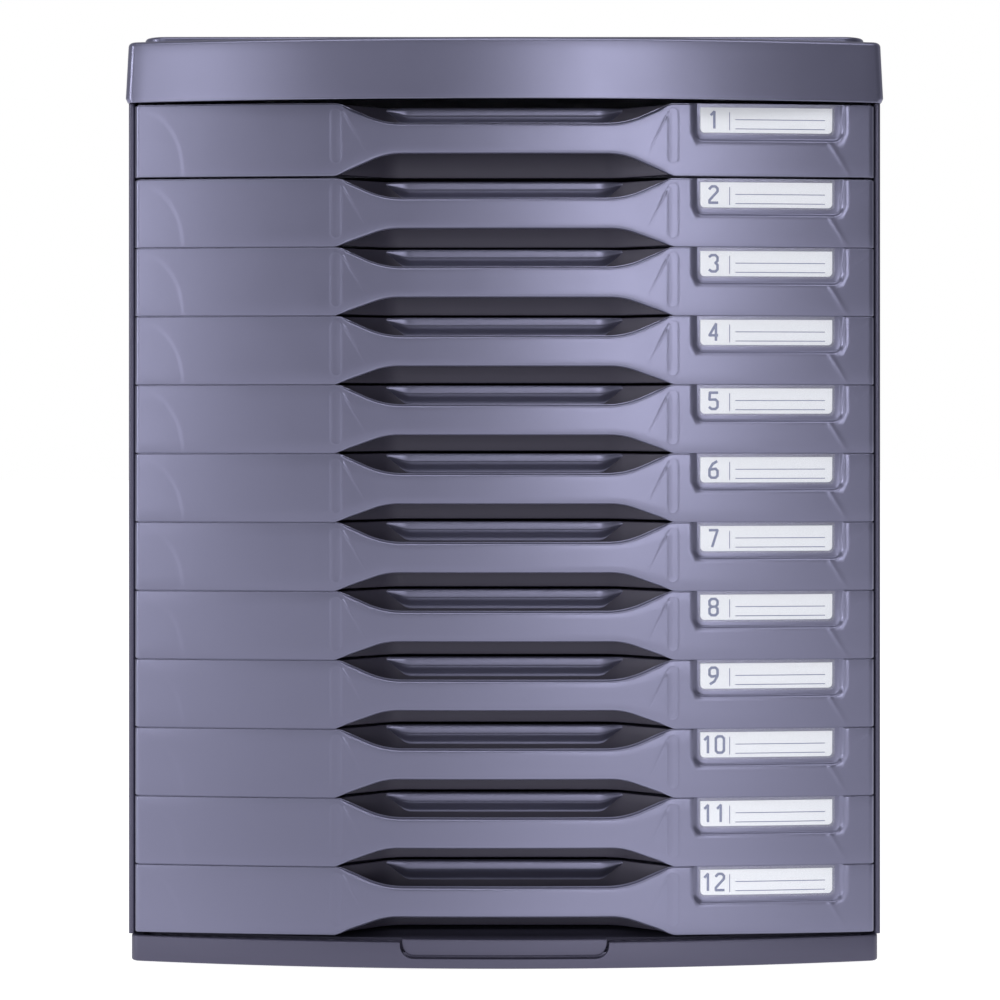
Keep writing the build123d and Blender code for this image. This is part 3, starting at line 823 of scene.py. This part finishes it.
class Maths:
    """Builds chains of maths nodes."""

    def __init__(self, tree):
        self.nodes = tree.nodes
        self.links = tree.links

    def do(self, operation, *values, clamp=False):
        """One maths node over numbers or sockets."""
        node = self.nodes.new("ShaderNodeMath")
        node.operation = operation
        node.use_clamp = clamp
        for socket, value in zip(node.inputs, values):
            if isinstance(value, (int, float)):
                socket.default_value = value
            else:
                self.links.new(value, socket)
        return node.outputs[0]

    def bell(self, distance, width):
        """A soft ridge: 1 where the distance is 0, falling to 0 past its width."""
        share = self.do("DIVIDE", distance, width)
        squared = self.do("MULTIPLY", share, share)
        return self.do("POWER", math.e, self.do("MULTIPLY", squared, -1.0))

    def step(self, value, low, high):
        """A smooth step from 0 to 1 between two values."""
        node = self.nodes.new("ShaderNodeMapRange")
        node.interpolation_type = "SMOOTHSTEP"
        node.inputs["From Min"].default_value = low
        node.inputs["From Max"].default_value = high
        self.links.new(value, node.inputs["Value"])
        return node.outputs["Result"]

    def segment(self, u, v, start, end):
        """The distance from a line between two points, and the share of the way along it."""
        run = (end[0] - start[0], end[1] - start[1])
        length = math.hypot(*run)
        du = self.do("SUBTRACT", u, start[0])
        dv = self.do("SUBTRACT", v, start[1])
        along_u = self.do("MULTIPLY", du, run[0] / length**2)
        along = self.do("ADD", along_u, self.do("MULTIPLY", dv, run[1] / length**2))
        share = self.do("MINIMUM", self.do("MAXIMUM", along, 0.0), 1.0)
        across = self.do("SUBTRACT", du, self.do("MULTIPLY", share, run[0]))
        up = self.do("SUBTRACT", dv, self.do("MULTIPLY", share, run[1]))
        squared = self.do("ADD", self.do("MULTIPLY", across, across), self.do("MULTIPLY", up, up))
        return self.do("SQRT", squared), share


# Moulding marks on a front, in millimetres across from its middle and up from its upper edge.
# Their heights are in tenths of a millimetre.
sink_x = 64.0
sink_radius = 2.1
sink_top = 1.8
sink_bottom = 22.4
sink_depth = 0.45
sink_edge_width = 0.35
sink_edge_height = 0.28
# Each crease: its start, its end, its width and its height at the start
crease_lines = [
    ((-61.6, -3.0), (-52.6, -18.0), 0.45, 0.6),
    ((62.4, -3.0), (55.4, -17.5), 0.45, -0.7),
    ((124.6, -14.6), (131.6, -26.0), 1.0, 0.8),
    ((139.4, -2.8), (133.0, -7.2), 0.6, 0.30),
]
crease_fade = 0.75
flow_centre = (-139.0, -26.0)
flow_size = (16.0, 23.6)
flow_height = 0.42


def moulding_marks(tree):
    """The faint marks that moulding leaves on a front: sinks over the webs, creases and a flow line."""
    maths = Maths(tree)
    place = tree.nodes.new("ShaderNodeUVMap")
    split = tree.nodes.new("ShaderNodeSeparateXYZ")
    tree.links.new(place.outputs["UV"], split.inputs["Vector"])
    u = maths.do("MULTIPLY", split.outputs["X"], 1 / MM)
    v = maths.do("MULTIPLY", split.outputs["Y"], 1 / MM)
    upper = (sink_x, -sink_top - sink_radius)
    lower = (sink_x, -sink_bottom + sink_radius)
    distance = maths.segment(maths.do("ABSOLUTE", u), v, upper, lower)[0]
    hollow = maths.do("MULTIPLY", maths.step(distance, sink_radius, 0.0), sink_depth)
    edge = maths.bell(maths.do("SUBTRACT", distance, sink_radius), sink_edge_width)
    marks = maths.do("SUBTRACT", maths.do("MULTIPLY", edge, sink_edge_height), hollow)
    for start, end, width, height in crease_lines:
        distance, share = maths.segment(u, v, start, end)
        fade = maths.do("SUBTRACT", 1.0, maths.do("MULTIPLY", share, crease_fade))
        ridge = maths.do("MULTIPLY", maths.bell(distance, width), fade)
        marks = maths.do("ADD", marks, maths.do("MULTIPLY", ridge, height))
    across = maths.do("DIVIDE", maths.do("SUBTRACT", u, flow_centre[0]), flow_size[0])
    up = maths.do("DIVIDE", maths.do("SUBTRACT", v, flow_centre[1]), flow_size[1])
    squares = [maths.do("MULTIPLY", side, side) for side in (across, up)]
    reach = maths.do("SQRT", maths.do("ADD", *squares))
    return maths.do("ADD", marks, maths.do("MULTIPLY", maths.step(reach, 0.94, 1.06), flow_height))


class Finish:
    """A material, with the steps that the finishes share."""

    def __init__(self, name):
        self.made = bpy.data.materials.new(name)
        self.made.use_nodes = True
        self.tree = self.made.node_tree
        self.shader = self.tree.nodes["Principled BSDF"]
        self.place = self.tree.nodes.new("ShaderNodeTexCoord")

    def put(self, **values):
        """Sets inputs of the shader, to a value or to another node's output."""
        for name, value in values.items():
            socket = self.shader.inputs[name.replace("_", " ")]
            if isinstance(value, bpy.types.NodeSocket):
                self.tree.links.new(value, socket)
            else:
                socket.default_value = value

    def noise(self, scale, detail=2):
        """A noise through the object, in cells per metre."""
        node = self.tree.nodes.new("ShaderNodeTexNoise")
        node.inputs["Scale"].default_value = scale
        node.inputs["Detail"].default_value = detail
        self.tree.links.new(self.place.outputs["Object"], node.inputs["Vector"])
        return node.outputs["Fac"]

    def mottled(self, share, first, second):
        """A colour between two."""
        node = self.tree.nodes.new("ShaderNodeMix")
        node.data_type = "RGBA"
        node.inputs["A"].default_value = (*first, 1)
        node.inputs["B"].default_value = (*second, 1)
        self.tree.links.new(share, node.inputs["Factor"])
        return node.outputs["Result"]

    def between(self, share, low, high):
        """A value between two."""
        node = self.tree.nodes.new("ShaderNodeMapRange")
        node.inputs["To Min"].default_value = low
        node.inputs["To Max"].default_value = high
        self.tree.links.new(share, node.inputs["Value"])
        return node.outputs["Result"]

    def bump(self, height, strength, distance, under=None):
        """A bumped surface, over another if there is one."""
        node = self.tree.nodes.new("ShaderNodeBump")
        node.inputs["Strength"].default_value = strength
        node.inputs["Distance"].default_value = distance
        self.tree.links.new(height, node.inputs["Height"])
        if under:
            self.tree.links.new(under, node.inputs["Normal"])
        return node.outputs["Normal"]


def moulded_plastic(name, colour, metallic, roughness, grain=1.0, marks=False):
    """Satin moulded plastic: fine grain, a slow waviness and a slightly uneven gloss."""
    finish = Finish(name)
    cloud = finish.noise(22, 1)
    haze = finish.noise(60, 1)
    normal = finish.bump(finish.noise(2600), 0.03 * grain, 0.1 * MM)
    normal = finish.bump(finish.noise(45, 1), 0.08, 0.4 * MM, normal)
    if marks:
        normal = finish.bump(moulding_marks(finish.tree), 1.0, 0.1 * MM, normal)
    finish.put(
        Base_Color=finish.mottled(cloud, [c * 0.98 for c in colour], [c * 1.02 for c in colour]),
        Metallic=metallic,
        Roughness=finish.between(haze, roughness - 0.015, roughness + 0.025),
        Normal=normal,
    )
    return finish.made


slate = (0.165, 0.165, 0.252)
front_plastic = moulded_plastic("slate_front_plastic", slate, 0.65, 0.29, marks=True)
cover_plastic = moulded_plastic("slate_cover_plastic", slate, 0.65, 0.29)
# The recess wall is moulded with the front, but its colour is far darker than the slate: painted shade in the
# recess.
recess_painted_shade = moulded_plastic("slate_recess_painted_shade", (0.040, 0.036, 0.061), 0.3, 0.5, grain=2.5)
frame_plastic = moulded_plastic("slate_frame_plastic", (0.074, 0.071, 0.116), 0.5, 0.4)
tray_plastic = moulded_plastic("slate_tray_plastic", (0.12, 0.12, 0.175), 0.3, 0.45)


def make_label_paper():
    """Smooth white card with a faint tooth."""
    finish = Finish("label_card")
    tooth = finish.noise(1500, 4)
    finish.put(
        Base_Color=finish.mottled(tooth, (0.70, 0.715, 0.775), (0.75, 0.765, 0.81)),
        Roughness=0.4,
        Normal=finish.bump(tooth, 0.15, 0.05 * MM),
    )
    return finish.made


def make_ink():
    """Slate-blue print."""
    finish = Finish("label_ink")
    tooth = finish.noise(3000)
    finish.put(Base_Color=finish.mottled(tooth, (0.10, 0.12, 0.24), (0.15, 0.17, 0.31)), Roughness=0.5)
    return finish.made


def make_clear():
    """Thin clear plastic of the label holders, with faint scuffs."""
    finish = Finish("clear_holder")
    gloss = finish.between(finish.noise(400, 6), 0.08, 0.2)
    finish.put(Base_Color=(0.93, 0.94, 1.0, 1), IOR=1.49, Alpha=0.06, Roughness=gloss)
    return finish.made


def make_rubber():
    """Matt black rubber."""
    finish = Finish("foot_rubber")
    grit = finish.noise(900, 5)
    finish.put(
        Base_Color=finish.mottled(grit, (0.012, 0.012, 0.014), (0.03, 0.03, 0.034)),
        Roughness=0.8,
        Normal=finish.bump(grit, 0.4, 0.1 * MM),
    )
    return finish.made


def make_zinc():
    """Zinc-plated steel with a fine brushed grain."""
    finish = Finish("zinc_steel")
    tint = finish.mottled(finish.noise(1200, 3), (0.55, 0.56, 0.58), (0.70, 0.70, 0.69))
    finish.put(Base_Color=tint, Metallic=1.0, Roughness=0.3)
    return finish.made


label_paper = make_label_paper()
label_ink = make_ink()
clear_plastic = make_clear()
foot_rubber = make_rubber()
zinc_steel = make_zinc()


def dress(obj, finish, body):
    """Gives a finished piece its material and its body."""
    obj.data.materials.clear()
    obj.data.materials.append(finish)
    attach(obj, body)
    return obj


def paint_node(node, finish):
    """A better finish on a solid that stays as it is."""
    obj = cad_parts[node]
    obj.data.materials.clear()
    obj.data.materials.append(finish)


# Label cards
card_margin = 3.8 * MM
card_half = pocket_half - card_margin
card_low, card_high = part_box("label_02_card")
card_thickness = 0.25 * MM
card_outer = pocket_recess - card_thickness
card_height = card_high.z - card_low.z
print_rise = 0.03 * MM
digit_height = 6.2 * MM
digit_spacing = 4.9 * MM
line_half = 0.16 * MM
rule_left = -12.0 * MM
rule_right = 22.6 * MM
rule_drops = (4.6 * MM, 8.1 * MM)


def on_bow(offset, z, depth):
    """A point over the label, at a distance from its middle and a depth behind the front's face."""
    point, normal = drawer_bow.station(label_centre + offset, front_setback)
    return point[0] - normal[0] * depth, point[1] - normal[1] * depth, z


def make_card(name, top):
    """A white card that follows the bow, with rounded lower corners."""
    upper = card_high.z - standard_high.z
    stations = []
    lows = []
    for offset, rise in pocket_columns(card_half, 1.6 * MM):
        stations.append(drawer_bow.station(label_centre + offset, front_setback))
        lows.append(top + upper - card_height + rise)
    highs = [top + upper] * len(stations)
    rows = band_rows(card_outer, card_outer + card_thickness, 1, 2)
    return band(name, stations, lows, highs, rows, [0.06 * MM] * len(stations))


def make_print(name, strips):
    """Ink on a card: thin closed strips, each given by pairs of points along its two edges."""
    depth = card_outer - print_rise
    under = depth + print_rise * 2
    verts = []
    faces = []
    for edges in strips:
        first = len(verts)
        for (x0, z0), (x1, z1) in edges:
            verts += [on_bow(x0, z0, depth), on_bow(x1, z1, depth)]
            verts += [on_bow(x1, z1, under), on_bow(x0, z0, under)]
        for a in range(first, len(verts) - 4, 4):
            for j in range(4):
                k = (j + 1) % 4
                faces.append((a + j, a + 4 + j, a + 4 + k, a + k))
        faces.append((first, first + 1, first + 2, first + 3))
        last = len(verts) - 4
        faces.append((last + 3, last + 2, last + 1, last))
    ink = new_mesh_object(name, verts, faces)
    outward(ink)
    ink.data.materials.append(label_ink)
    return ink


def make_rules(name, top):
    """Two thin ruled lines to write on, and an upright one beside the number."""
    upper = top + card_high.z - standard_high.z
    strips = []
    for drop in rule_drops:
        low = upper - drop - line_half
        high = upper - drop + line_half
        strips.append([((x, low), (x, high)) for x in spread(rule_left, rule_right, 20)])
    edge = rule_left - 2.2 * MM
    low = upper - 8.6 * MM
    high = upper - 1.8 * MM
    strips.append([((x, low), (x, high)) for x in (edge - line_half, edge + line_half)])
    return make_print(name, strips)


# The strokes of plain numbers, on a grid 2 wide and 4 high
strokes = {
    "0": [(0, 0.5), (0, 3.5), (0.5, 4), (1.5, 4), (2, 3.5), (2, 0.5), (1.5, 0), (0.5, 0), (0, 0.5)],
    "1": [(0.4, 3.2), (1.2, 4), (1.2, 0)],
    "2": [(0, 3.4), (0.6, 4), (1.5, 4), (2, 3.5), (2, 2.8), (0, 0.6), (0, 0), (2, 0)],
    "3": [
        (0, 3.6), (0.5, 4), (1.5, 4), (2, 3.5), (2, 2.6), (1.5, 2.1),
        (2, 1.6), (2, 0.5), (1.5, 0), (0.5, 0), (0, 0.4),
    ],
    "4": [(1.6, 0), (1.6, 4), (0, 1.2), (2, 1.2)],
    "5": [(2, 4), (0.1, 4), (0, 2.3), (1.5, 2.3), (2, 1.8), (2, 0.5), (1.5, 0), (0.5, 0), (0, 0.4)],
    "6": [
        (1.8, 4), (0.8, 3.4), (0, 2), (0, 0.5), (0.5, 0),
        (1.5, 0), (2, 0.5), (2, 1.7), (1.5, 2.2), (0.2, 2),
    ],
    "7": [(0, 4), (2, 4), (0.7, 0)],
    "8": [
        (0.5, 2.1), (0, 2.6), (0, 3.5), (0.5, 4), (1.5, 4), (2, 3.5), (2, 2.6), (1.5, 2.1), (0.5, 2.1),
        (0, 1.6), (0, 0.5), (0.5, 0), (1.5, 0), (2, 0.5), (2, 1.6), (1.5, 2.1),
    ],
    "9": [
        (0.2, 0), (1.2, 0.6), (2, 2), (2, 3.5), (1.5, 4),
        (0.5, 4), (0, 3.5), (0, 2.3), (0.5, 1.8), (1.8, 2),
    ],
}
stroke_half = 0.5 * MM


def make_number(name, number, top):
    """The drawer's plain number, printed on its card."""
    step = digit_height / 4
    middle_z = top + card_high.z - standard_high.z - card_height / 2 + 0.1 * MM
    digits = str(number)
    strips = []
    for place, digit in enumerate(digits):
        left = rule_left - 8.4 * MM + (place - (len(digits) - 1) / 2) * digit_spacing - step
        points = [Vector((left + x * step, middle_z + (z - 2) * step)) for x, z in strokes[digit]]
        for start, end in zip(points, points[1:]):
            along = (end - start).normalized() * stroke_half
            side = Vector((-along.y, along.x))
            start = start - along * 0.5
            end = end + along * 0.5
            strips.append([(start + side, start - side), (end + side, end - side)])
    return make_print(name, strips)


# Drawer fronts
standard_low, standard_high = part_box("drawer_02_front")
standard_height = standard_high.z - standard_low.z


def make_front(number, bottom, top):
    """The whole front of one drawer, as one mesh."""
    name = f"drawer_{number:02d}_front_shell"
    parts = [
        make_skin("skin", bottom, top),
        make_recess("recess", bottom, top),
        make_lip("lip", top),
        make_deck("deck", top),
        make_webs("webs", bottom, top),
        make_hooks("hooks", bottom),
    ]
    for part in parts:
        # The recess wall takes the darker material, whose colour is painted shade.
        part.data.materials.append(recess_painted_shade if part.name == "recess" else front_plastic)
    front = joined(name, parts)
    shade(front, 40)
    mark_places(front, top)
    return front


standard_front = make_front(2, standard_low.z, standard_high.z)
fronts = {2: standard_front}
for number in drawer_numbers:
    low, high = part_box(f"drawer_{number:02d}_front")
    if number == 1:
        fronts[number] = make_front(number, low.z, high.z)
    elif number > 2:
        name = f"drawer_{number:02d}_front_shell"
        fronts[number] = moved_copy(standard_front, name, low.z - standard_low.z)
for number, front in fronts.items():
    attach(front, f"drawer_{number:02d}")
    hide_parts(f"drawer_{number:02d}_front")

for number in drawer_numbers:
    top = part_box(f"drawer_{number:02d}_front")[1].z
    card = make_card("card", top)
    card.data.materials.append(label_paper)
    prints = [make_rules("rules", top), make_number("number", number, top)]
    label = joined(f"label_{number:02d}_printed_card", [card] + prints)
    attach(label, f"drawer_{number:02d}")
    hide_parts(f"label_{number:02d}_card")

cover = dress(make_cover(), cover_plastic, "cabinet")
dress(make_rim(), cover_plastic, "cabinet")
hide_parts("top_cover")

base = dress(make_base(), frame_plastic, "cabinet")
dress(make_notch_panel(), frame_plastic, "cabinet")
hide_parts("base")

for node in ("left_side_panel", "right_side_panel", "back_panel"):
    paint_node(node, frame_plastic)
paint_node("rubber_feet", foot_rubber)
paint_node("base_screws", zinc_steel)
for number in drawer_numbers:
    paint_node(f"drawer_{number:02d}_tray", tray_plastic)
    paint_node(f"label_{number:02d}_holder", clear_plastic)


def ramp(tree, value, stops):
    """A smooth chain of levels. A stop is where a change starts, where it ends and the new level."""
    level = stops[0]
    for low, high, new_level in stops[1:]:
        step = tree.nodes.new("ShaderNodeMapRange")
        step.interpolation_type = "SMOOTHSTEP"
        step.inputs["From Min"].default_value = low
        step.inputs["From Max"].default_value = high
        step.inputs["To Max"].default_value = new_level
        tree.links.new(value, step.inputs["Value"])
        if isinstance(level, float):
            step.inputs["To Min"].default_value = level
        else:
            tree.links.new(level, step.inputs["To Min"])
        level = step.outputs["Result"]
    return level


def make_floor():
    """A pale floor that glows, painted light that brightens behind the cabinet, with painted pools of light
    in front of it.
    """
    finish = Finish("pale_floor_painted_glow")
    tree = finish.tree
    split = tree.nodes.new("ShaderNodeSeparateXYZ")
    tree.links.new(finish.place.outputs["Object"], split.inputs["Vector"])
    maths = Maths(tree)
    ahead = maths.do("SUBTRACT", pool_origin, split.outputs["Y"])
    angle = maths.do("ARCTAN2", split.outputs["X"], ahead)
    pools = maths.do("MULTIPLY", ramp(tree, angle, pool_glow), ramp(tree, ahead, pool_reach))
    # The floor's emission is painted light: a glow that rises towards the back, and painted pools of light in
    # front.
    finish.put(
        Base_Color=(0.5, 0.5, 0.5, 1),
        Roughness=0.9,
        Specular_IOR_Level=0.1,
        Emission_Color=(1, 1, 1, 1),
        Emission_Strength=maths.do("ADD", ramp(tree, split.outputs["Y"], floor_glow), pools),
    )
    half = floor_size
    corners = [(-half, -half, 0), (half, -half, 0), (half, half, 0), (-half, half, 0)]
    floor = new_mesh_object("floor", corners, [(0, 1, 2, 3)])
    floor.data.materials.append(finish.made)


def softbox(name, azimuth, elevation, distance, width, height, power):
    """A soft rectangular light in front of the cabinet. Azimuth is to the right of straight ahead."""
    around = math.radians(azimuth)
    up = math.radians(elevation)
    target = Vector((0, bow_end, 0.18))
    away = Vector((math.sin(around) * math.cos(up), -math.cos(around) * math.cos(up), math.sin(up)))
    data = bpy.data.lights.new(name, "AREA")
    data.shape = "RECTANGLE"
    data.size = width
    data.size_y = height
    data.energy = power
    light = bpy.data.objects.new(name, data)
    light.location = target + away * distance
    light.rotation_euler = (-away).to_track_quat("-Z", "Y").to_euler()
    scene.collection.objects.link(light)


def make_world():
    """A studio that is dim in front, fair at the sides and bright straight behind the cabinet."""
    world = bpy.data.worlds.new("studio")
    scene.world = world
    world.use_nodes = True
    tree = world.node_tree
    place = tree.nodes.new("ShaderNodeTexCoord")
    split = tree.nodes.new("ShaderNodeSeparateXYZ")
    tree.links.new(place.outputs["Generated"], split.inputs["Vector"])
    background = tree.nodes["Background"]
    tree.links.new(ramp(tree, split.outputs["Y"], world_glow), background.inputs["Strength"])
    background.inputs["Color"].default_value = (1, 1, 1, 1)


# Glow from front to back, painted light on the floor and the studio light in the world: the first level, then
# where each change starts and ends, and the new level
floor_glow = [0.4, (-0.40, -0.10, 1.0)]
world_glow = [0.03, (-0.25, 0.3, 0.4), (0.88, 0.955, 1.0)]
# Painted pools of light that the floor gives off in front, by their angle from a point inside the cabinet and
# the way out to them
pool_origin = bow_end + 0.37
pool_glow = [0.55, (-0.46, -0.16, 0.0), (-0.12, 0.12, 0.9), (0.14, 0.38, 0.0)]
pool_reach = [0.0, (0.36, 0.46, 1.0), (1.0, 2.2, 0.0)]

# Azimuth and elevation in degrees, distance, width and height in metres, and power in watts
softboxes = {
    "right_softbox": (9.5, 7, 2.4, 0.32, 1.5, 12),
    "left_softbox": (-29, 7, 2.4, 0.45, 1.5, 9.5),
    "side_softbox": (-64, 8, 2.4, 0.4, 1.5, 20),
    "top_softbox": (3, 58, 1.9, 2.2, 0.7, 16),
}

make_floor()
for name, values in softboxes.items():
    softbox(name, *values)
make_world()
